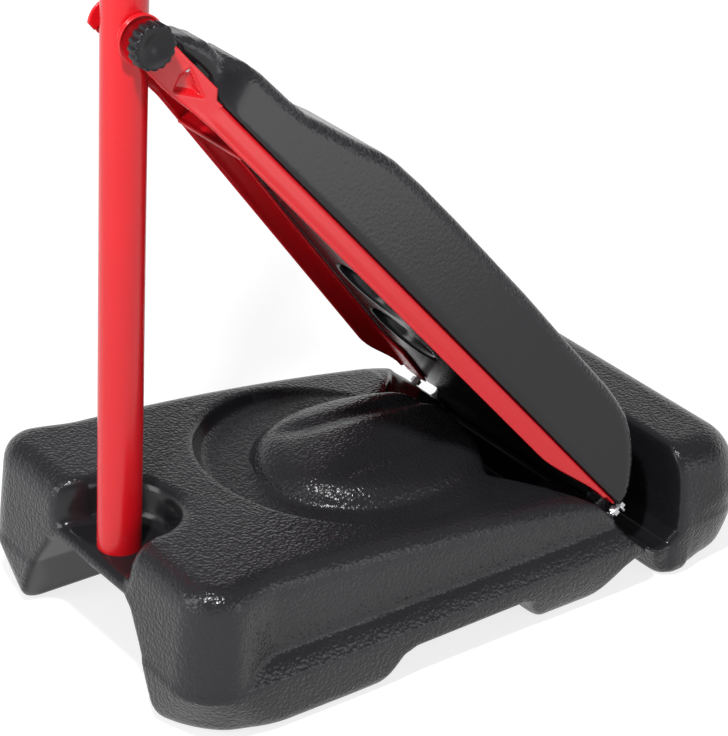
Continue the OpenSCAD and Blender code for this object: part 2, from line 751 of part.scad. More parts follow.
// Glide that guides the mast's lower end in the post
module mast_glide() color(plastic) translate([post_x, 0, mast_low_z]) difference() {
    union() {
        translate([0, 0, -6]) cylinder(r = post_bore - run_gap, h = 5.8);
        translate([0, 0, -1]) cylinder(r = mast_d / 2 - mast_wall - fit_gap, h = 24);
    }
    translate([0, 0, -8]) cylinder(r = mast_d / 2 - mast_wall - 4, h = 40);
}

/* Spring */
coil_r = (spring_d - wire_d) / 2;
ferrule_r = spring_d / 2 + 5;
spring_z0 = mast_top_z + 6;
spring_z1 = spring_z0 + spring_len;
end_rise = 2 * wire_d + 3;

module lower_ferrule() color(glossy_black) translate([post_x, 0, 0]) difference() {
    union() {
        translate([0, 0, spring_z0 - ferrule_h]) cylinder(r1 = mast_d / 2 + 4, r2 = ferrule_r, h = ferrule_h - 12);
        translate([0, 0, spring_z0 - 12]) cylinder(r = ferrule_r, h = 12);
    }
    translate([0, 0, spring_z0 - ferrule_h - 1]) cylinder(r = mast_d / 2 + run_gap, h = mast_top_z - spring_z0 + ferrule_h + 1.2);
}

module upper_ferrule() color(glossy_black) translate([post_x, 0, spring_z1]) difference() {
    union() {
        cylinder(r = ferrule_r, h = 12);
        translate([0, 0, 12]) cylinder(r1 = ferrule_r, r2 = stud_d / 2 + 8, h = ferrule_h - 16);
    }
    translate([0, 0, 6]) cylinder(r = stud_d / 2 + run_gap, h = ferrule_h);
}

// One closed tube swept along a path that winds round the vertical axis at X = x0
function unit(v) = v / norm(v);
module tube(points, x0, r, sides) {
    n = len(points);
    rings = [for (i = [0 : n - 1]) let (
        d = i == 0 || i == n - 1 ? [0, 0, 1] : unit(points[i + 1] - points[i - 1]),
        out = unit([points[i][0] - x0, points[i][1], 0] - d * (d * [points[i][0] - x0, points[i][1], 0])),
        up = cross(d, out)
    ) for (k = [0 : sides - 1]) points[i] + r * (cos(k * 360 / sides) * out + sin(k * 360 / sides) * up)];
    faces = concat(
        [[for (k = [sides - 1 : -1 : 0]) k]],
        [for (i = [0 : n - 2]) for (k = [0 : sides - 1]) for (half = [0, 1])
            let (k2 = (k + 1) % sides, a = i * sides, b = a + sides)
            half == 0 ? [a + k, a + k2, b + k2] : [a + k, b + k2, b + k]],
        [[for (k = [0 : sides - 1]) (n - 1) * sides + k]]
    );
    polyhedron(points = rings, faces = faces, convexity = 20);
}

coil_steps = 8;
coil_count = spring_turns * coil_steps;
coil_rise = spring_len - 2 * end_rise;
coil_points = [for (i = [0 : coil_count])
    [post_x + coil_r * cos(i * 360 / coil_steps), coil_r * sin(i * 360 / coil_steps),
        spring_z0 + end_rise + coil_rise * i / coil_count]];
// The wire's end stands square on the ferrule and then bends into the coil
function wire_end(a, z) = [post_x + coil_r * cos(a), coil_r * sin(a), z];
wire_path = concat(
    [for (h = [0, wire_d]) wire_end(-24, spring_z0 + h)], coil_points,
    [for (h = [wire_d, 0]) wire_end(24, spring_z1 - h)]);

module coil_spring() color(zinc) tube(wire_path, post_x, wire_d / 2, 6);

// Least gap between turns, measured on the wire's own points
coil_gap = min([for (i = [0 : coil_count - 1]) for (j = [i + coil_steps - 2 : 1 : min(i + coil_steps + 2, coil_count)])
    norm(coil_points[i] - coil_points[j])]) - wire_d;
echo(coil_gap = coil_gap);

/* Ball */
dish_z = spring_z1 + ferrule_h + 18;
dish_floor = 6;
dish_h = 12;
ball_z = dish_z + dish_floor + ball_d / 2;
stud_low = spring_z1 + 6 + fit_gap;

module stud() color(zinc) translate([post_x, 0, stud_low]) cylinder(d = stud_d, h = dish_z + 32 - stud_low);

module lock_nut() color(zinc) translate([post_x, 0, spring_z1 + ferrule_h - 4]) difference() {
    cylinder(d = 1.8 * stud_d, h = 9, $fn = 6);
    translate([0, 0, -1]) cylinder(r = stud_d / 2 + run_gap, h = 12);
}

module seat_dish() color(glossy_black) translate([post_x, 0, dish_z]) difference() {
    union() {
        cylinder(r1 = 20, r2 = dish_r, h = dish_h);
        translate([0, 0, dish_h]) cylinder(r = dish_r, h = 3);
        translate([0, 0, -10]) cylinder(r = 14, h = 11);
    }
    translate([0, 0, ball_z - dish_z]) sphere(r = ball_d / 2 + fit_gap, $fn = 128);
    translate([0, 0, -11]) cylinder(r = stud_d / 2 + run_gap, h = 30);
}

boss_r = 16;
lining_out = ball_d / 2 - cover_t - fit_gap;
bladder_out = lining_out - lining_t - fit_gap;
valve_tilt = 58;

module shell(outer, t, opening) difference() {
    sphere(r = outer, $fn = 64);
    sphere(r = outer - t, $fn = 64);
    translate([0, 0, -outer - 10]) cylinder(r = opening, h = outer);
    rotate([valve_tilt, 0, 0]) cylinder(r = 5, h = outer + 10);
}

module ball_cover() color(red) translate([post_x, 0, ball_z]) shell(ball_d / 2, cover_t, boss_r + fit_gap);
module ball_lining() color(rubber) translate([post_x, 0, ball_z]) shell(lining_out, lining_t, boss_r + fit_gap);
module ball_bladder() color(rubber) translate([post_x, 0, ball_z])
    shell(bladder_out, bladder_t, boss_r + fit_gap);

module ball_valve() color(rubber) translate([post_x, 0, ball_z]) rotate([valve_tilt, 0, 0]) difference() {
    union() {
        translate([0, 0, bladder_out - bladder_t - 4]) cylinder(r = 4.8, h = ball_d / 2 - bladder_out + bladder_t + 4);
        translate([0, 0, bladder_out - bladder_t - 5]) cylinder(r = 9, h = 4);
    }
    translate([0, 0, bladder_out - 20]) cylinder(r = 1, h = 60);
}

// Threaded boss moulded into the foot of the ball
module ball_neck() color(plastic) translate([post_x, 0, 0]) difference() {
    union() {
        translate([0, 0, dish_z + dish_floor + 1.4]) cylinder(r = boss_r, h = 37);
        translate([0, 0, dish_z + 36]) cylinder(r = boss_r + 10, h = 5);
    }
    translate([0, 0, dish_z]) cylinder(r = stud_d / 2 + run_gap, h = 36);
}

base_tank();
base_cap();
base_cap_gasket();
foot_washer();
foot_bolt();
foot_plug();
lower_post();
post_sleeve();
collar();
collar_bush();
clamp_bolt();
near_disc();
far_disc();
star_knob();
knob_insert();
near_rail();
far_rail();
web();
upper_tank();
tank_bolts();
tank_washers();
tank_nuts();
neck_screw();
neck_tube();
tank_cap();
tank_cap_gasket();
height_knob();
height_screw();
mast();
mast_glide();
lower_ferrule();
coil_spring();
upper_ferrule();
stud();
lock_nut();
seat_dish();
ball_cover();
ball_lining();
ball_bladder();
ball_valve();
ball_neck();
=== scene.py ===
"""Looks of the spring reflex bag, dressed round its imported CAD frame.

Lengths are in millimetres in the part's own frame while a form is worked out,
and each mesh is written in metres.
"""
import json
import math
import bpy
import numpy as np
from mathutils import Matrix, Vector


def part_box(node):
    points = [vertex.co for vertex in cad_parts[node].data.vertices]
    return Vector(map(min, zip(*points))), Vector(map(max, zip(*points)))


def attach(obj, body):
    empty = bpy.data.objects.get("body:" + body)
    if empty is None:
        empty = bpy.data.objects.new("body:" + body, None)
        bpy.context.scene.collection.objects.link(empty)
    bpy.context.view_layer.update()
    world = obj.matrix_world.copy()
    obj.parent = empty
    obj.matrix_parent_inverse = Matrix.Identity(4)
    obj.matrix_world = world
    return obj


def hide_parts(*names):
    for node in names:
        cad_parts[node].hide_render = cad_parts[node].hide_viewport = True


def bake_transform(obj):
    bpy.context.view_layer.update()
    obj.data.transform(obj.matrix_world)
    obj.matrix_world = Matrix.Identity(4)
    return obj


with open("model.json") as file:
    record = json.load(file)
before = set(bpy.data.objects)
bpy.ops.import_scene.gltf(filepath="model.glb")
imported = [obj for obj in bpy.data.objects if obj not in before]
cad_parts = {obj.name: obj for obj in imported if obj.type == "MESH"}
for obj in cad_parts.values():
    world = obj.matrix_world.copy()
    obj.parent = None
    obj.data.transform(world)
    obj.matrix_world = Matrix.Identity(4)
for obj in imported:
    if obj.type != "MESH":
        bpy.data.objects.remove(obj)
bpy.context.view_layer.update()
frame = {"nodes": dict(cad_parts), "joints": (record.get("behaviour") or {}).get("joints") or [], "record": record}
MM = 0.001


def box_mm(node):
    low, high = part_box(node)
    return np.array(low) / MM, np.array(high) / MM


# ---------------------------------------------------------------- places
BASE_LOW, BASE_HIGH = box_mm("base_tank")
POST_LOW, POST_HIGH = box_mm("lower_post")
POST_X = (POST_LOW[0] + POST_HIGH[0]) / 2
BOLT_LOW, BOLT_HIGH = box_mm("clamp_bolt")
BOLT_Z = (BOLT_LOW[2] + BOLT_HIGH[2]) / 2
JOINT = {j["name"]: j for j in frame["joints"]}
FLARE = math.tan(math.radians(11.8))
BALL_LOW, BALL_HIGH = box_mm("ball_cover")
SPRING_LOW, SPRING_HIGH = box_mm("coil_spring")


# ---------------------------------------------------------------- camera
def make_camera():
    """The photograph's view: from above the post's end, rolled a little."""
    yaw, pitch, roll = (math.radians(a) for a in (38.588, 27.905, 3.282))
    back = Vector((-math.sin(yaw) * math.cos(pitch), -math.cos(yaw) * math.cos(pitch), math.sin(pitch)))
    right = Vector((0, 0, 1)).cross(back).normalized()
    up = back.cross(right)
    turned_right = math.cos(roll) * right + math.sin(roll) * up
    turned_up = -math.sin(roll) * right + math.cos(roll) * up
    data = bpy.data.cameras.new("camera")
    data.sensor_width = 36
    data.lens = 131.652
    data.clip_start = 0.1
    data.clip_end = 50
    camera = bpy.data.objects.new("camera", data)
    bpy.context.scene.collection.objects.link(camera)
    spot = Vector((POST_X - 1384.08, -2152.12, 1726.3)) * MM
    camera.matrix_world = Matrix((
        (turned_right.x, turned_up.x, back.x, spot.x),
        (turned_right.y, turned_up.y, back.y, spot.y),
        (turned_right.z, turned_up.z, back.z, spot.z),
        (0, 0, 0, 1),
    ))
    bpy.context.scene.camera = camera


make_camera()


# ---------------------------------------------------------------- forms
# A form is a function of points that is negative inside it and grows by about
# one millimetre for each millimetre outwards.
def smooth_max(a, b, k):
    h = np.maximum(k - np.abs(a - b), 0) / k
    return np.maximum(a, b) + h * h * k / 4


def smooth_min(a, b, k):
    return -smooth_max(-a, -b, k)


def step(x, low, high):
    t = np.clip((x - low) / (high - low), 0, 1)
    return t * t * (3 - 2 * t)


def outline(px, py, points):
    """Distance from a closed outline in a plane, negative inside it."""
    best = np.full(px.shape, 1e9)
    inside = np.zeros(px.shape, bool)
    for (ax, ay), (bx, by) in zip(points, points[1:] + points[:1]):
        ex, ey = bx - ax, by - ay
        wx, wy = px - ax, py - ay
        t = np.clip((wx * ex + wy * ey) / (ex * ex + ey * ey), 0, 1)
        best = np.minimum(best, (wx - ex * t) ** 2 + (wy - ey * t) ** 2)
        if ay != by:
            crosses = ((ay > py) != (by > py)) & (px < ex * (py - ay) / ey + ax)
            inside ^= crosses
    return np.where(inside, -1, 1) * np.sqrt(best)


def box_form(x, y, z, low, high):
    q = [np.abs(v - (a + b) / 2) - (b - a) / 2 for v, a, b in zip((x, y, z), low, high)]
    out = np.sqrt(sum(np.maximum(v, 0) ** 2 for v in q))
    return out + np.minimum(np.maximum(np.maximum(q[0], q[1]), q[2]), 0)


def surface(form, low, high, size):
    """Corners and faces of a form's surface, from cubes of the given size."""
    low = np.array(low, float)
    count = np.ceil((np.array(high) - low) / size).astype(int) + 1
    axes = [low[i] + size * np.arange(count[i]) for i in range(3)]
    value = form(*np.meshgrid(*axes, indexing="ij"))
    within = value < 0
    total = np.zeros(tuple(count - 1) + (3,))
    hits = np.zeros(count - 1)
    whole = [slice(None)] * 3

    def cut(axis, start, stop):
        part = list(whole)
        part[axis] = slice(start, stop)
        return tuple(part)

    for axis in range(3):
        v0, v1 = value[cut(axis, 0, -1)], value[cut(axis, 1, None)]
        crossed = (v0 < 0) != (v1 < 0)
        share = np.where(crossed, v0 / np.where(v0 == v1, 1, v0 - v1), 0)
        b, c = [k for k in range(3) if k != axis]
        for db in (0, 1):
            for dc in (0, 1):
                part = list(whole)
                part[b] = slice(db, count[b] - 1 + db)
                part[c] = slice(dc, count[c] - 1 + dc)
                here = crossed[tuple(part)]
                total[..., axis] += np.where(here, share[tuple(part)], 0)
                total[..., b] += here * db
                total[..., c] += here * dc
                hits += here
    active = hits > 0
    number = -np.ones(active.shape, int)
    number[active] = np.arange(active.sum())
    corners = (np.argwhere(active) + total[active] / hits[active][:, None]) * size + low
    faces = []
    for axis in range(3):
        s0, s1 = within[cut(axis, 0, -1)], within[cut(axis, 1, None)]
        edge = np.argwhere(s0 != s1)
        b, c = (axis + 1) % 3, (axis + 2) % 3
        edge = edge[(edge[:, b] > 0) & (edge[:, b] < count[b] - 1)]
        edge = edge[(edge[:, c] > 0) & (edge[:, c] < count[c] - 1)]
        quad = []
        for db, dc in ((-1, -1), (0, -1), (0, 0), (-1, 0)):
            cell = edge.copy()
            cell[:, b] += db
            cell[:, c] += dc
            quad.append(number[cell[:, 0], cell[:, 1], cell[:, 2]])
        quad = np.stack(quad, 1)
        outward = within[edge[:, 0], edge[:, 1], edge[:, 2]]
        quad[~outward] = quad[~outward][:, ::-1]
        faces.append(quad)
    return settle(form, corners, size), np.concatenate(faces)


def slope(form, points, reach=0.5):
    grad = np.empty_like(points)
    for axis in range(3):
        ahead, behind = points.copy(), points.copy()
        ahead[:, axis] += reach
        behind[:, axis] -= reach
        grad[:, axis] = (form(*ahead.T) - form(*behind.T)) / (2 * reach)
    return grad


def settle(form, points, size):
    """Moves points on to the form's surface, each by less than a cube."""
    start = points.copy()
    for _ in range(3):
        grad = slope(form, points)
        move = form(*points.T)[:, None] * grad / np.maximum((grad ** 2).sum(1), 0.05)[:, None]
        points = start + np.clip(points - move - start, -size * 0.7, size * 0.7)
    return points


def new_piece(name, corners, faces):
    mesh = bpy.data.meshes.new(name)
    if isinstance(faces, np.ndarray):
        faces = faces.tolist()
    mesh.from_pydata((np.asarray(corners) * MM).tolist(), [], faces)
    mesh.validate()
    mesh.polygons.foreach_set("use_smooth", [True] * len(mesh.polygons))
    piece = bpy.data.objects.new(name, mesh)
    bpy.context.scene.collection.objects.link(piece)
    return piece


def add_mesh(name, corners, faces, body, slot_name, *nodes):
    """A piece that rides on a body and stands in for the CAD nodes named, if any."""
    piece = new_piece(name, corners, faces)
    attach(piece, body)
    if nodes:
        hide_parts(*nodes)
    return piece


def ring_faces(rings, steps):
    """Faces between rings of corners, with a cap at each end."""
    faces = []
    for a in range(0, (rings - 1) * steps, steps):
        for k in range(steps):
            k2 = (k + 1) % steps
            faces.append((a + k, a + k2, a + steps + k2, a + steps + k))
    faces.append(tuple(range(steps - 1, -1, -1)))
    faces.append(tuple(range((rings - 1) * steps, rings * steps)))
    return faces


def unit_slope(form, points):
    normals = slope(form, points)
    return normals / np.maximum(np.linalg.norm(normals, axis=1), 1e-6)[:, None]


def paint(piece, name, values):
    """Stores one number per corner, which a material reads by name."""
    layer = piece.data.attributes.new(name, "FLOAT", "POINT")
    layer.data.foreach_set("value", np.asarray(values, dtype=np.float32))


# ---------------------------------------------------------------- base tank
END_X = BASE_HIGH[0] - POST_X
START_X = BASE_LOW[0] - POST_X
HALF_W = BASE_HIGH[1]
PARTING_Z = 61
FLOOR_Z = POST_LOW[2]
HEEL = [v / MM for v in JOINT["brace_tip"]["pos_m"]]
HEEL_X, HEEL_Z = HEEL[0] - POST_X, HEEL[2]
BLOCK_X = END_X - 122
BOWL_X, BOWL_R, BOWL_Z = 312, 167, 150
ISLAND_X, ISLAND_HALF, ISLAND_RISE = 345, 121, 31
# The recess has a deep middle and a shallower, wider part round it
DEEP_HALF, DEEP_Z = 108, 56
SHALLOW_HALF, SHALLOW_Z = 196, 112
BLOCK_TOP = 162
# The heel's axis stands this far off the line that runs down the brace
HEEL_W = 14.0
BRACE_ANGLE = (math.atan2(BOLT_Z - HEEL_Z, HEEL_X)
               + math.asin(HEEL_W / math.hypot(HEEL_X, BOLT_Z - HEEL_Z)))
BRACE_LEN = math.sqrt(HEEL_X ** 2 + (BOLT_Z - HEEL_Z) ** 2 - HEEL_W ** 2)


def deck_height(x):
    return 188.5 - 0.036 * x - 0.00014 * x * x


def plan_distance(x, y, z=PARTING_Z):
    """Distance from the base's rounded rectangle, seen from above; the feet are rounder at the floor."""
    middle, half = (START_X + END_X) / 2, (END_X - START_X) / 2
    r = np.where(x < middle, 56.0 + 1.25 * np.clip(PARTING_Z - z, 0, PARTING_Z), 70.0)
    a = np.abs(x - middle) - (half - r)
    b = np.abs(y) - (HALF_W - r)
    return np.hypot(np.maximum(a, 0), np.maximum(b, 0)) + np.minimum(np.maximum(a, b), 0) - r


def notch_distance(x, y, z):
    lean = np.maximum(z - FLOOR_Z, 0)
    r = 60 + 0.16 * lean
    straight = np.abs(y) - (r + 0.3 * np.maximum(-x, 0))
    return smooth_max(np.where(x > 0, np.hypot(x, y) - r, straight), FLOOR_Z - z, 14)


def bowl_distance(x, y, z):
    wall = np.hypot(x - BOWL_X, y) - (BOWL_R + 0.45 * np.maximum(z - BOWL_Z, 0))
    return smooth_max(wall, BOWL_Z - z, 10)


def island_form(x, y, z):
    ay = np.abs(y)
    a = np.where(x < ISLAND_X, 146.0, 175.0)
    edge = (np.hypot((x - ISLAND_X) / a, y / ISLAND_HALF) - 1) * ISLAND_HALF
    crown = BOWL_Z + ISLAND_RISE * np.sqrt(np.clip(1 - ((x - 305) / np.where(x < 305, 150, 260)) ** 2, 0, 1))
    crown = crown - 16 * (ay / 118) ** 2.5
    groove = 5.5 * np.exp(-((ay - 52 + 0.06 * (x - 300)) / 15) ** 2) * step(x, 235, 300)
    return smooth_max(edge + 0.35 * (z - BOWL_Z), z - crown + groove, 22)


def recess_distance(x, y, z):
    ay = np.abs(y)
    front = (HEEL_X - 110) - ay * ay / 480 - x
    deep = smooth_max(smooth_max(front, ay - DEEP_HALF, 40), DEEP_Z - z, 16)
    corner = smooth_max(front, (HEEL_X - 132) + 0.95 * (ay - 104) - x, 10)
    shallow = smooth_max(smooth_max(corner, ay - SHALLOW_HALF, 20), SHALLOW_Z - z, 12)
    both = smooth_min(deep, shallow, 12)
    return smooth_max(both, x - (BLOCK_X - 40), 4)


CHANNEL = [(500, 300), (500, 140), (540, 124), (560, 100), (574, 74), (600, 52), (617, 45), (634, 48),
           (646, 62), (BLOCK_X - 2, 96), (BLOCK_X, 300)]
LONG_ARCH = [(200, -20), (208, 0), (236, 33), (252, 39), (408, 41), (424, 34), (444, 0), (450, -20)]
SHORT_ARCH = [(512, -20), (522, 0), (566, 36), (580, 43), (604, 46), (616, 36), (630, 0), (634, -20)]
END_ARCH = [(150, -20), (138, 10), (112, 70), (84, 114), (70, 124), (-70, 124), (-84, 114), (-112, 70),
            (-138, 10), (-150, -20)]


def base_form(gx, y, z):
    x = gx - POST_X
    plan = plan_distance(x, y, z)
    raised = step(x, 640, 720)
    parting = PARTING_Z + 34 * raised
    above = np.maximum(z - parting, 0)
    below = np.maximum(parting - z, 0)
    foot = 0.0012 + 0.0026 * step(x, 150, 420) - 0.0016 * raised
    lower = plan + foot * below ** 2 + 0.75 * np.maximum(z - 66, 0)
    band = smooth_max(smooth_max(lower, -z, 20), z - 90, 16)
    along = step(x, 2, 70) * (1 - step(x, 590, 650))
    wall = plan + (1 - along) * 0.07 * above + along * (21 - 0.02 * (z - 84))
    deck = smooth_max(smooth_max(wall, z - deck_height(x), 30), -z, 20)
    deck = smooth_max(deck, x - (BLOCK_X + 14), 8)
    lean = 0.13 + 0.17 * step(x, 690, 760)
    end_wall = plan + lean * above + 0.0022 * raised * below ** 2
    block = smooth_max(end_wall, z - (BLOCK_TOP - 0.045 * (x - BLOCK_X)), 40)
    block = smooth_max(smooth_max(block, BLOCK_X - 14 - x, 10), -z, 24)
    body = smooth_min(smooth_min(band, deck, 5), block, 6)
    body = smooth_max(body, -bowl_distance(x, y, z), 7)
    body = smooth_min(body, smooth_max(island_form(x, y, z), 60 - z, 4), 6)
    body = smooth_max(body, -outline(x, z, CHANNEL), 12)
    body = smooth_max(body, -recess_distance(x, y, z), 15)
    body = smooth_max(body, -notch_distance(x, y, z), 15)
    body = smooth_max(body, -outline(x, z, LONG_ARCH), 9)
    body = smooth_max(body, -outline(x, z, SHORT_ARCH), 9)
    end = smooth_max(outline(y, z, END_ARCH), x - 110, 40)
    body = smooth_max(body, -end, 7)
    rib = box_form(x, y, z, (HEEL_X - 26, -148, 40), (HEEL_X + 26, 148, HEEL_Z - 4))
    rib = smooth_max(rib, 14.8 - np.hypot(x - HEEL_X, z - HEEL_Z), 4)
    return smooth_min(body, rib, 5)


def base_grain_and_shade(points, normals):
    """How pebbled the moulding is at each point: 1 on its grained faces, 0 where it is polished; the material also
    paints the polished faces darker, as painted shade in the hollows.
    """
    x, y, z = points.T
    x = x - POST_X
    grain = np.ones(len(points))
    notch = notch_distance(x, y, z)
    grain = np.minimum(grain, step(notch, 2, 7))
    recess = recess_distance(x, y, z)
    grain = np.minimum(grain, step(recess, 2, 9))
    channel = outline(x, z, CHANNEL)
    grain = np.minimum(grain, np.where((x > 600) & (z > 40), step(channel, 1.5, 8), 1))
    under = outline(y, z, END_ARCH)
    grain = np.minimum(grain, np.where(x < 112, step(under, 0.5, 3), 1))
    bowl = np.hypot(x - BOWL_X, y)
    wall = (bowl > BOWL_R - 5) & (bowl < BOWL_R + 15) & (x < 300) & (z > BOWL_Z + 1) & (normals[:, 2] < 0.85)
    grain = np.where(wall, np.minimum(grain, step(normals[:, 2], 0.55, 0.85)), grain)
    return grain


def make_base(cube):
    high = (BASE_HIGH[0] + 8, BASE_HIGH[1] + 8, 200)
    corners, faces = surface(base_form, BASE_LOW - 8, high, cube)
    corners[:, 2] = np.maximum(corners[:, 2], 0.0)
    piece = add_mesh("base_shell", corners, faces, "base", "black_plastic", "base_tank")
    paint(piece, "grain", base_grain_and_shade(corners, unit_slope(base_form, corners)))
    return piece


# ---------------------------------------------------------------- upper tank
def from_brace(points):
    u, y, w = np.asarray(points, float).T
    c, s = math.cos(BRACE_ANGLE), math.sin(BRACE_ANGLE)
    return np.stack([POST_X + u * c + w * s, y, BOLT_Z - u * s + w * c], 1)


def rail_half(u):
    return 29 + (u - 28) * FLARE


TANK_SIDE = [(98, 14), (98, 44), (108, 58), (121, 64.5), (142, 68), (188, 70), (214, 73), (237, 80),
             (280, 92), (316, 104), (335, 108), (380, 111), (444, 112), (577, 111), (659, 108), (744, 106),
             (768, 103.5), (791, 98.5), (809, 89.5), (822, 80.5), (837, 67), (848, 52), (866, 29), (873, 20),
             (866, 9), (800, 6.5), (740, 8), (700, 10), (600, 11.5), (480, 11.5), (400, 10), (330, 8.5),
             (250, 6.5), (200, 5.5), (150, 4), (125, 7), (112, 13)]
NOSE_SIDE = [(34, 24), (36, 31), (50, 39), (60, 44.5), (74, 51), (86, 52.5), (98, 50), (140, 42), (140, 24)]


def tank_form(u, y, w):
    ay = np.abs(y)
    flank = ay - (rail_half(u) + 1.6 - 0.11 * (w - 14))
    front = 94 + 26 * (ay / 44) ** 2 - u
    body = smooth_max(outline(u, w, TANK_SIDE), flank, 15)
    body = smooth_max(body, front, 14)
    rail_room = np.maximum(ay - (rail_half(u) + 0.7), w - 13.8)
    body = smooth_max(body, -rail_room, 1.5)
    nose = smooth_max(outline(u, w, NOSE_SIDE), ay - (23 + 0.12 * (u - 28)), 14)
    lug = box_form(u, y, w, (57, -22, 6), (75, 22, 40))
    heel = smooth_max(np.hypot(u - BRACE_LEN, w - HEEL_W) - 13.6, ay - 146, 3)
    form = smooth_min(smooth_min(body, nose, 8), smooth_min(lug, heel, 5), 6)
    for side in (-1, 1):
        form = smooth_max(form, 13 - np.hypot(u - 863.9, y - side * 190.5), 4)
        for pu, py, ru, ry in ((555, 45, 45, 50), (670, 75, 40, 50)):
            pocket = (np.hypot((u - pu) / ru, (y - side * py) / ry) - 1) * 45
            form = smooth_max(form, -smooth_max(pocket, w - 32, 14), 8)
    return form


def make_upper_tank(cube):
    corners, faces = surface(tank_form, (20, -212, -6), (892, 212, 122), cube)
    normals = unit_slope(tank_form, corners)
    # Faces without grain, the sides and underside, are painted darker by the material: painted shade.
    grain = step(normals[:, 2], 0.05, 0.35)
    grain = np.maximum(grain, step(normals[:, 0], 0.5, 0.8) * step(corners[:, 0], 700, 760))
    grain = np.maximum(grain, 0.8 * step(-normals[:, 0], 0.3, 0.6) * step(corners[:, 2], 40, 60))
    piece = add_mesh("tank_shell", from_brace(corners), faces, "brace", "black_plastic", "upper_tank")
    paint(piece, "grain", grain)
    return piece


# ---------------------------------------------------------------- pressed steel
STEEL = 3.5
RAIL_TOP = 13.4
RAIL_LOW = -12.2
EAR_R = 27.0
EAR_Y = 29.0
NECK_U = 28.0
TAB_END = (BRACE_LEN + 15.4 - NECK_U) * math.cos(math.atan(FLARE))
FLANGE_END = (BRACE_LEN - 12 - NECK_U) * math.cos(math.atan(FLARE)) + 17


def rail_side():
    """The rail's outline seen from its side: ear, cheek and a flange that sweeps up at its end."""
    ear = [(EAR_R * math.cos(a), EAR_R * math.sin(a)) for a in np.radians(np.arange(90, 220, 8.0))]
    low = [(-20, -18), (40, -18.6)]
    low += [(48 + 90 * t, -18.8 + 6.6 * step(t, 0, 1)) for t in np.linspace(0.1, 1, 8)]
    sweep = [(FLANGE_END + 115 * (t - 1), RAIL_LOW + 18.6 * step(t, 0, 1)) for t in np.linspace(0, 1, 10)]
    return ear + low + sweep + [(FLANGE_END + 2, RAIL_TOP), (114, RAIL_TOP), (106, 22.5), (28, 22.5)]


RAIL_SIDE = rail_side()
TAB = [(96, -14), (TAB_END - 128, -14), (TAB_END - 88, -36), (TAB_END - 8, -36), (TAB_END, -28),
       (TAB_END, -6), (TAB_END - 6, 0), (96, 0)]
SLOT = [(-5.5, 0), (-8, -40), (8, -40), (5.5, 0)]
POCKET = [(67, 17), (63, 4), (69, -14), (100, 5)]


def rail_point(x, n, w):
    """From the rail's own frame, along it and outwards from it, to the brace's frame."""
    c, s = math.cos(math.atan(FLARE)), math.sin(math.atan(FLARE))
    return NECK_U + x * c - n * s, EAR_Y + x * s + n * c, w


def rail_form(x, n, w):
    u, y, w = rail_point(x, n, w)
    out = smooth_min(n, y - EAR_Y, 8)
    dent = 6.5 * step(-outline(u, w, POCKET), -1.5, 6)
    roll = 1.2 * step(u, 112, 140) * np.exp(-((w + 3.0) / 7.0) ** 2)
    lip = 1.5 * step(u, 90, 130) * (1 - step(w - RAIL_LOW, 0, 4))
    out = out + dent - roll - lip
    leg = np.abs(out + STEEL / 2) - STEEL / 2
    leg = smooth_max(leg, outline(u, w, RAIL_SIDE), 2.6)
    top = smooth_max(np.abs(w - RAIL_TOP + STEEL / 2) - STEEL / 2, outline(x, n, TAB), 2.2)
    form = smooth_min(leg, top, 3)
    corner = smooth_max(out, w - RAIL_TOP, 7)
    form = np.maximum(form, np.where(u > 122, corner, -1e3))
    slot = np.minimum(np.hypot(u, w) - 5.5, outline(u, w, SLOT))
    form = smooth_max(form, -slot, 2)
    hole = np.hypot(x - (TAB_END - 24), n + 13) - 4.4
    return smooth_max(form, -hole, 1)


def make_rails(cube):
    for side, name in ((-1, "near_rail"), (1, "far_rail")):
        corners, faces = surface(rail_form, (-60, -42, -28), (TAB_END + 8, 18, 28), cube)
        u, y, w = rail_point(*corners.T)
        points = np.stack([u, side * y, w], 1)
        if side < 0:
            faces = faces[:, ::-1]
        rail = add_mesh(name + "_steel", from_brace(points), faces, "brace", "red_paint", name)
        rail.data.materials.append(FINISH["red_paint"])


def web_form(u, y, w):
    half = rail_half(u) - STEEL - 0.4
    plate = box_form(u, y, w, (176, -300, RAIL_LOW + 1), (179.5, 300, 10.2))
    leg = box_form(u, y, w, (176, -300, RAIL_LOW - 1.2), (182, 300, RAIL_LOW + 2.3))
    bead = np.hypot(u - 176.5, w - RAIL_LOW) - 2.2
    return smooth_max(smooth_min(smooth_min(plate, leg, 3), bead, 1.5), np.abs(y) - half, 1)


def make_web(cube):
    corners, faces = surface(web_form, (170, -66, -18), (198, 66, 14), cube)
    web = add_mesh("cross_web", from_brace(corners), faces, "brace", "red_paint", "web")
    web.data.materials.append(FINISH["red_paint"])


# ---------------------------------------------------------------- turned pieces
def turned(name, rings, steps, place, axis, body, slot_name, *nodes, lobes=0):
    """A form turned about an axis: rings of radius, height and depth of the lobes between."""
    axis = Vector(axis).normalized()
    side = axis.orthogonal().normalized()
    other = axis.cross(side)
    angle = np.arange(steps) * 2 * math.pi / steps
    corners = []
    for r, h, depth in rings:
        reach = r - depth * (0.5 - 0.5 * np.cos(lobes * angle)) ** 1.6
        corners.append(np.outer(np.cos(angle) * reach, side) + np.outer(np.sin(angle) * reach, other)
                       + np.array(axis) * h)
    corners = np.concatenate(corners) + np.array(place, float)
    piece = add_mesh(name, corners, ring_faces(len(rings), steps), body, slot_name, *nodes)
    piece.data.set_sharp_from_angle(angle=math.radians(50))
    piece.data.materials.append(FINISH[slot_name])


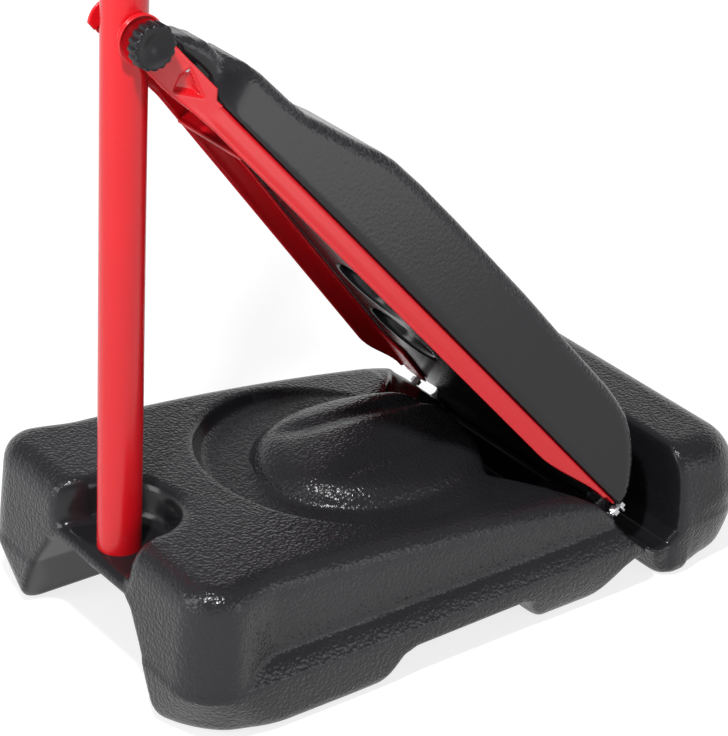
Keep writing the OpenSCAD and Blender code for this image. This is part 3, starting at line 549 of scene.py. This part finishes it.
KNOB_RINGS = [(8, 0, 0), (11.5, 0.2, 0), (12, 1, 0), (12, 8.6, 0), (14, 9.8, 0), (22, 10.2, 1.2),
              (24.4, 11, 1.9), (25.4, 12.6, 2.3), (25.5, 18, 2.4), (25.4, 23.4, 2.3), (24.6, 25.6, 1.9),
              (23.2, 26.7, 1.2), (21.4, 27, 0.5), (19.6, 26.7, 0), (14, 24.4, 0), (8, 21.4, 0),
              (4, 20.2, 0), (1, 19.9, 0)]
DISH_RINGS = [(14, 0, 0), (24, 0, 0), (26.4, 0.5, 0), (27, 1.4, 0), (26.8, 2.6, 0), (26, 3.2, 0),
              (24.9, 3.1, 0), (24, 2.3, 0), (22.6, 1.7, 0), (9, 1.7, 0)]
KNOB_LOBES = 16
WASHER_SCALE = 0.6


def make_clamp():
    near, far = (0, -1, 0), (0, 1, 0)
    for name, node in (("clamp_hand_knob", "star_knob"), ("height_hand_knob", "height_knob")):
        low, high = box_mm(node)
        place = (POST_X, high[1], (low[2] + high[2]) / 2)
        turned(name, KNOB_RINGS, 12 * KNOB_LOBES, place, near, node, "glossy_plastic", node, lobes=KNOB_LOBES)
    _, high = box_mm("near_disc")
    place = (POST_X, high[1], BOLT_Z)
    turned("clamp_plate", DISH_RINGS, 96, place, near, "base", "red_paint", "near_disc")
    low, _ = box_mm("far_disc")
    place = (POST_X, low[1], BOLT_Z)
    small = [(r * WASHER_SCALE, h, 0) for r, h, _ in DISH_RINGS]
    turned("clamp_washer", small, 64, place, far, "base", "red_paint", "far_disc")


# ---------------------------------------------------------------- spring and ball
def tube_along(points, outwards, radius, sides):
    """Corners and faces of a round wire along a path."""
    ahead = np.gradient(points, axis=0)
    ahead /= np.linalg.norm(ahead, axis=1)[:, None]
    out = outwards - (outwards * ahead).sum(1)[:, None] * ahead
    out /= np.linalg.norm(out, axis=1)[:, None]
    up = np.cross(ahead, out)
    angle = np.arange(sides) * 2 * math.pi / sides
    round_it = np.cos(angle)[:, None] * out[:, None] + np.sin(angle)[:, None] * up[:, None]
    rings = points[:, None] + radius * round_it
    return rings.reshape(-1, 3), ring_faces(len(points), sides)


def make_spring():
    """The coil in two halves that meet in the middle."""
    wire = 6.0
    coil = (SPRING_HIGH[0] - SPRING_LOW[0]) / 2 - wire / 2
    low, high = SPRING_LOW[2], SPRING_HIGH[2]
    middle = (low + high) / 2
    # One closed turn lies on each ferrule, and the open turns stand between the two
    turns, closed = 15, 1.04 * wire
    pitch = (high - low - wire - 2 * closed) / turns
    turn = np.linspace(0, turns + 2, 32 * (turns + 2) + 1)
    height = (low + wire / 2 + closed * (np.clip(turn, 0, 1) + np.clip(turn - turns - 1, 0, 1))
              + pitch * np.clip(turn - 1, 0, turns))
    a = turn * 2 * math.pi
    path = np.stack([POST_X + coil * np.cos(a), coil * np.sin(a), height], 1)
    outwards = np.stack([np.cos(a), np.sin(a), 0 * a], 1)
    half = int(np.searchsorted(height, middle))
    # A length of the coil at each ferrule, which goes only into start and end values that nothing reads
    stiff = 10
    for name, part, ends, start, end in (
            ("spring_lower", slice(0, half + 1), ("mast", "spring"), low + stiff, middle),
            ("spring_upper", slice(half, None), ("spring", "bag"), middle, high - stiff)):
        piece = new_piece(name, *tube_along(path[part], outwards[part], wire / 2, 12))
        piece.data.materials.append(FINISH["spring_steel"])
        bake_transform(piece)
        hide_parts("coil_spring")


GORES = 8
# Angle from the ball's pole to the edge of its round end patch
PATCH_TILT = 0.42
STITCHES = 56
STITCH = [(-1.6, 0, 0), (-0.8, -0.45, 0.1), (-0.8, 0.45, 0.1), (-0.8, 0, 0.5),
          (0.8, -0.45, 0.1), (0.8, 0.45, 0.1), (0.8, 0, 0.5), (1.6, 0, 0)]
STITCH_FACES = [(0, 1, 3), (0, 3, 2), (0, 2, 1), (1, 4, 6, 3), (3, 6, 5, 2), (2, 5, 4, 1),
                (7, 6, 4), (7, 5, 6), (7, 4, 5)]


def make_ball():
    """Eight sewn gores with sunk seams between two round end patches."""
    centre = (BALL_LOW + BALL_HIGH) / 2
    radius = (BALL_HIGH[0] - BALL_LOW[0]) / 2
    across, down = 24, 120
    steps = GORES * across
    angle = np.arange(steps) * 2 * math.pi / steps
    tilt = np.linspace(0.14, math.pi - 0.14, down)
    t, a = np.meshgrid(tilt, angle, indexing="ij")
    seam = np.abs((a * GORES / (2 * math.pi) + 0.5) % 1 - 0.5) * 2 * math.pi / GORES * np.sin(t) * radius
    patch = np.minimum(np.abs(t - PATCH_TILT), np.abs(math.pi - t - PATCH_TILT)) * radius
    inside_patch = np.minimum(t, math.pi - t) < PATCH_TILT
    line = np.where(inside_patch, patch, np.minimum(seam, patch))
    sunk = 1.5 * np.exp(-(line / 1.5) ** 2) + 0.9 * np.exp(-(line / 7) ** 2)
    valve = Vector((0, -math.sin(math.radians(58)), math.cos(math.radians(58))))
    way = np.stack([np.sin(t) * np.cos(a), np.sin(t) * np.sin(a), np.cos(t)], -1)
    from_valve = np.arccos(np.clip(way @ np.array(valve), -1, 1)) * radius
    sunk = np.maximum(sunk, 2.0 * step(9 - from_valve, 0, 2.5))
    corners = (centre + way * (radius - sunk)[..., None]).reshape(-1, 3)
    # The rings run down the ball, so their faces are turned over to look outwards
    faces = [face[:1] + face[:0:-1] for face in ring_faces(down, steps)]
    ball = add_mesh("sewn_cover", corners, faces, "bag", "ball_leather", "ball_cover")
    ball.data.materials.append(FINISH["ball_leather"])
    make_stitches(centre, radius)


def make_stitches(centre, radius):
    """Two rows of short stitches beside each seam, each a small six-sided bead."""
    corners, faces = [], []
    for gore in range(GORES):
        for k in range(STITCHES):
            for side in (-1, 1):
                tilt = PATCH_TILT + 0.04 + (math.pi - 2 * PATCH_TILT - 0.08) * (k + 0.5) / STITCHES
                turn = gore * 2 * math.pi / GORES + side * 3.4 / (radius * math.sin(tilt))
                c, s = math.cos(turn), math.sin(turn)
                up = Vector((math.sin(tilt) * c, math.sin(tilt) * s, math.cos(tilt)))
                along = Vector((math.cos(tilt) * c, math.cos(tilt) * s, -math.sin(tilt)))
                over = up.cross(along)
                spot = Vector(centre) + up * (radius - 0.75)
                first = len(corners)
                corners += [tuple(spot + along * e + over * f + up * h) for e, f, h in STITCH]
                faces += [tuple(first + i for i in face) for face in STITCH_FACES]
    thread = add_mesh("seam_thread", corners, faces, "bag", "ball_leather")
    thread.data.materials.append(FINISH["thread"])


# ---------------------------------------------------------------- finishes
def material(name):
    m = bpy.data.materials.new(name)
    m.use_nodes = True
    tree = m.node_tree
    return m, tree, tree.nodes["Principled BSDF"]


def add_node(tree, kind, **values):
    node = tree.nodes.new(kind)
    for key, value in values.items():
        if key in node.inputs:
            node.inputs[key].default_value = value
        else:
            setattr(node, key, value)
    return node


def join(tree, a, b):
    tree.links.new(a, b)


def set_ramp(node, stops):
    ramp = node.color_ramp
    while len(ramp.elements) > 2:
        ramp.elements.remove(ramp.elements[-1])
    for i, (place, value) in enumerate(stops):
        element = ramp.elements[i] if i < 2 else ramp.elements.new(place)
        element.position = place
        element.color = (value, value, value, 1) if isinstance(value, (int, float)) else (*value, 1)


def ranged(tree, value, low, high, start=0.0, end=1.0):
    """The value's range from start to end spread from low to high."""
    node = add_node(tree, "ShaderNodeMapRange")
    for key, number in (("From Min", start), ("From Max", end), ("To Min", low), ("To Max", high)):
        node.inputs[key].default_value = number
    join(tree, value, node.inputs["Value"])
    return node.outputs["Result"]


def tinted(tree, value, color, dark, start, end):
    """The color, darkened where the value is low."""
    node = add_node(tree, "ShaderNodeValToRGB")
    set_ramp(node, [(start, tuple(dark * c for c in color)), (end, color)])
    join(tree, value, node.inputs["Fac"])
    return node.outputs["Color"]


def embossed(tree, shader, height, **values):
    bump = add_node(tree, "ShaderNodeBump", **values)
    join(tree, height, bump.inputs["Height"])
    join(tree, bump.outputs["Normal"], shader.inputs["Normal"])
    return bump


def moulded_plastic(name, color, grain_size, masked=True, gloss=0.22):
    """Black polyethylene: pebbled where the grain attribute is 1, polished where it is 0, with the polished faces
    painted darker as painted shade.
    """
    m, tree, shader = material(name)
    shader.inputs["Specular IOR Level"].default_value = gloss
    place = add_node(tree, "ShaderNodeTexCoord")
    cells = add_node(tree, "ShaderNodeTexVoronoi", Scale=1 / grain_size, feature="SMOOTH_F1")
    cells.inputs["Smoothness"].default_value = 0.5
    warp = add_node(tree, "ShaderNodeTexNoise", Scale=0.55 / grain_size, Detail=2.0)
    mix = add_node(tree, "ShaderNodeMix", data_type="VECTOR")
    mix.inputs[0].default_value = 0.003
    join(tree, place.outputs["Object"], warp.inputs["Vector"])
    join(tree, place.outputs["Object"], mix.inputs[4])
    join(tree, warp.outputs["Color"], mix.inputs[5])
    join(tree, mix.outputs[1], cells.inputs["Vector"])
    fine = add_node(tree, "ShaderNodeTexNoise", Scale=1.1 / grain_size, Detail=1.0)
    join(tree, place.outputs["Object"], fine.inputs["Vector"])
    total = add_node(tree, "ShaderNodeMath", operation="MULTIPLY_ADD")
    total.inputs[1].default_value = -1.0
    join(tree, cells.outputs["Distance"], total.inputs[0])
    join(tree, fine.outputs["Fac"], total.inputs[2])
    bump = embossed(tree, shader, total.outputs[0], Distance=0.17 * grain_size)
    tone = add_node(tree, "ShaderNodeTexNoise", Scale=9.0, Detail=4.0)
    join(tree, place.outputs["Object"], tone.inputs["Vector"])
    shade = tinted(tree, tone.outputs["Fac"], color, 0.8, 0.3, 0.7)
    if masked:
        grain_and_shade_mask = add_node(tree, "ShaderNodeAttribute", attribute_name="grain").outputs["Fac"]
        # Where the grain attribute is 0 the colour is painted at 0.6 of itself: painted shade in the hollows of
        # the base and on the tank's sides and underside.
        depth = add_node(tree, "ShaderNodeMix", data_type="RGBA")
        depth.inputs[6].default_value = (*(0.6 * c for c in color), 1)
        join(tree, grain_and_shade_mask, depth.inputs[0])
        join(tree, shade, depth.inputs[7])
        join(tree, depth.outputs[2], shader.inputs["Base Color"])
        join(tree, ranged(tree, grain_and_shade_mask, 0.03, 1.0), bump.inputs["Strength"])
        rough = ranged(tree, grain_and_shade_mask, 0.2, 0.24)
    else:
        join(tree, shade, shader.inputs["Base Color"])
        bump.inputs["Strength"].default_value = 0.12
        rough = ranged(tree, tone.outputs["Fac"], 0.26, 0.38)
    join(tree, rough, shader.inputs["Roughness"])
    return m


def powder_coat(name, color):
    m, tree, shader = material(name)
    shader.inputs["Specular IOR Level"].default_value = 0.45
    place = add_node(tree, "ShaderNodeTexCoord")
    peel = add_node(tree, "ShaderNodeTexNoise", Scale=420.0, Detail=2.0)
    tone = add_node(tree, "ShaderNodeTexNoise", Scale=14.0, Detail=3.0)
    for node in (peel, tone):
        join(tree, place.outputs["Object"], node.inputs["Vector"])
    embossed(tree, shader, peel.outputs["Fac"], Strength=0.05, Distance=0.0004)
    join(tree, tinted(tree, tone.outputs["Fac"], color, 0.96, 0.3, 0.7), shader.inputs["Base Color"])
    join(tree, ranged(tree, tone.outputs["Fac"], 0.25, 0.28), shader.inputs["Roughness"])
    return m


def metal(name, color, low, high, scale):
    m, tree, shader = material(name)
    shader.inputs["Metallic"].default_value = 1.0
    place = add_node(tree, "ShaderNodeTexCoord")
    stretch = add_node(tree, "ShaderNodeMapping")
    stretch.inputs["Scale"].default_value = (1, 1, 6)
    grain = add_node(tree, "ShaderNodeTexNoise", Scale=scale, Detail=4.0)
    join(tree, place.outputs["Object"], stretch.inputs["Vector"])
    join(tree, stretch.outputs["Vector"], grain.inputs["Vector"])
    join(tree, ranged(tree, grain.outputs["Fac"], low, high), shader.inputs["Roughness"])
    join(tree, tinted(tree, grain.outputs["Fac"], color, 0.8, 0.35, 0.65), shader.inputs["Base Color"])
    embossed(tree, shader, grain.outputs["Fac"], Strength=0.08, Distance=0.0003)
    return m


def leather(name, color):
    """Coated synthetic leather: small pebbles with fine creases between them."""
    m, tree, shader = material(name)
    shader.inputs["Specular IOR Level"].default_value = 0.4
    place = add_node(tree, "ShaderNodeTexCoord")
    cells = add_node(tree, "ShaderNodeTexVoronoi", Scale=520.0, feature="DISTANCE_TO_EDGE")
    folds = add_node(tree, "ShaderNodeTexNoise", Scale=60.0, Detail=5.0)
    tone = add_node(tree, "ShaderNodeTexNoise", Scale=11.0, Detail=4.0)
    for node in (cells, folds, tone):
        join(tree, place.outputs["Object"], node.inputs["Vector"])
    total = add_node(tree, "ShaderNodeMath", operation="MULTIPLY_ADD")
    total.inputs[1].default_value = 0.5
    join(tree, folds.outputs["Fac"], total.inputs[0])
    join(tree, cells.outputs["Distance"], total.inputs[2])
    embossed(tree, shader, total.outputs[0], Strength=0.35, Distance=0.0008)
    join(tree, tinted(tree, tone.outputs["Fac"], color, 0.7, 0.3, 0.7), shader.inputs["Base Color"])
    join(tree, ranged(tree, tone.outputs["Fac"], 0.34, 0.5), shader.inputs["Roughness"])
    return m


FINISH = {
    "black_plastic": moulded_plastic("moulded_plastic", (0.02, 0.02, 0.023), 0.0042, gloss=0.32),
    "smooth_plastic": moulded_plastic("smooth_plastic", (0.02, 0.02, 0.023), 0.0016, masked=False),
    "glossy_plastic": moulded_plastic("glossy_plastic", (0.01, 0.01, 0.012), 0.0014, masked=False,
                                      gloss=0.25),
    "red_paint": powder_coat("red_powder_coat", (0.62, 0.006, 0.012)),
    "zinc": metal("zinc_plate", (0.5, 0.5, 0.52), 0.28, 0.42, 260.0),
    "spring_steel": metal("spring_steel", (0.56, 0.56, 0.58), 0.16, 0.3, 200.0),
    "brass": metal("brass", (0.72, 0.52, 0.22), 0.2, 0.35, 260.0),
    "rubber": moulded_plastic("rubber", (0.02, 0.02, 0.02), 0.002, masked=False),
    "ball_leather": leather("ball_leather", (0.026, 0.026, 0.029)),
    "foam": moulded_plastic("foam", (0.2, 0.2, 0.2), 0.002, masked=False),
    "thread": leather("seam_thread", (0.3, 0.3, 0.3)),
}
SLOT_OF = {part["node"]: part["material_slot"] for part in frame["record"]["subparts"]}


def finish_cad_nodes():
    for node, piece in frame["nodes"].items():
        name = SLOT_OF[node]
        if name == "black_plastic":
            name = "smooth_plastic"
        piece.data.materials.clear()
        piece.data.materials.append(FINISH[name])


finish_cad_nodes()
CUBE = 3.2
for shell in (make_base(CUBE), make_upper_tank(CUBE)):
    shell.data.materials.append(FINISH["black_plastic"])
make_rails(1.5)
make_web(1.2)
make_clamp()
make_spring()
make_ball()


# ---------------------------------------------------------------- studio
def make_floor():
    mesh = bpy.data.meshes.new("floor")
    size = 6.0
    corners = [(-size, -size, 0), (size, -size, 0), (size, size, 0), (-size, size, 0)]
    mesh.from_pydata(corners, [], [(0, 1, 2, 3)])
    floor = bpy.data.objects.new("floor", mesh)
    bpy.context.scene.collection.objects.link(floor)
    floor.location.z = -0.0005
    m, tree, shader = material("pale_floor")
    shader.inputs["Base Color"].default_value = (0.85, 0.85, 0.85, 1)
    shader.inputs["Roughness"].default_value = 0.9
    seen = add_node(tree, "ShaderNodeBsdfDiffuse", Color=(0.32, 0.32, 0.32, 1))
    glow = add_node(tree, "ShaderNodeEmission", Color=(1, 1, 1, 1))
    # The floor's glow is painted dimmer near the object, a painted shade round it, and brightens away from it
    # until it meets the white around it
    place = tree.nodes.new("ShaderNodeTexCoord")
    reach = add_node(tree, "ShaderNodeVectorMath", operation="LENGTH")
    join(tree, place.outputs["Object"], reach.inputs[0])
    join(tree, ranged(tree, reach.outputs["Value"], 0.8, 1.0, 0.7, 2.2), glow.inputs["Strength"])
    both = tree.nodes.new("ShaderNodeAddShader")
    join(tree, seen.outputs[0], both.inputs[0])
    join(tree, glow.outputs[0], both.inputs[1])
    mix = tree.nodes.new("ShaderNodeMixShader")
    join(tree, seen_directly(tree), mix.inputs[0])
    join(tree, shader.outputs[0], mix.inputs[1])
    join(tree, both.outputs[0], mix.inputs[2])
    join(tree, mix.outputs[0], tree.nodes["Material Output"].inputs["Surface"])
    floor.data.materials.append(m)


def seen_directly(tree):
    """1 for the rays that show a thing in the picture, in a reflection or through glass."""
    path = tree.nodes.new("ShaderNodeLightPath")
    first = add_node(tree, "ShaderNodeMath", operation="MAXIMUM")
    join(tree, path.outputs["Is Camera Ray"], first.inputs[0])
    join(tree, path.outputs["Is Glossy Ray"], first.inputs[1])
    second = add_node(tree, "ShaderNodeMath", operation="MAXIMUM")
    join(tree, first.outputs[0], second.inputs[0])
    join(tree, path.outputs["Is Transmission Ray"], second.inputs[1])
    return second.outputs[0]


def make_world():
    world = bpy.data.worlds.new("studio")
    world.use_nodes = True
    bpy.context.scene.world = world
    tree = world.node_tree
    tree.nodes.clear()
    out = tree.nodes.new("ShaderNodeOutputWorld")
    soft = add_node(tree, "ShaderNodeBackground", Color=(1, 1, 1, 1), Strength=0.32)
    white = add_node(tree, "ShaderNodeBackground", Color=(1, 1, 1, 1))
    # White up to a little above the horizon, and a dimmer ceiling over that
    place = tree.nodes.new("ShaderNodeTexCoord")
    parts = tree.nodes.new("ShaderNodeSeparateXYZ")
    join(tree, place.outputs["Generated"], parts.inputs[0])
    join(tree, ranged(tree, parts.outputs["Z"], 1.02, 0.25, 0.15, 0.5), white.inputs["Strength"])
    mix = tree.nodes.new("ShaderNodeMixShader")
    join(tree, seen_directly(tree), mix.inputs[0])
    join(tree, soft.outputs[0], mix.inputs[1])
    join(tree, white.outputs[0], mix.inputs[2])
    join(tree, mix.outputs[0], out.inputs["Surface"])


def add_lamp(name, place, target, size, watts):
    data = bpy.data.lights.new(name, "AREA")
    data.shape = "RECTANGLE"
    data.size, data.size_y = size
    data.energy = watts
    lamp = bpy.data.objects.new(name, data)
    bpy.context.scene.collection.objects.link(lamp)
    lamp.location = place
    lamp.rotation_mode = "QUATERNION"
    lamp.rotation_quaternion = (Vector(target) - Vector(place)).to_track_quat("-Z", "Y")


make_floor()
make_world()
add_lamp("key", (-1.04, -0.68, 2.24), (0, 0, 0.1), (0.13, 0.13), 44)
add_lamp("side", (-2.6, 0.3, 1.2), (0, 0, 0.5), (0.9, 1.6), 26)
add_lamp("front", (0.9, -2.6, 0.9), (0, 0, 0.4), (1.4, 1.2), 12)
bpy.context.scene.view_settings.view_transform = "Standard"
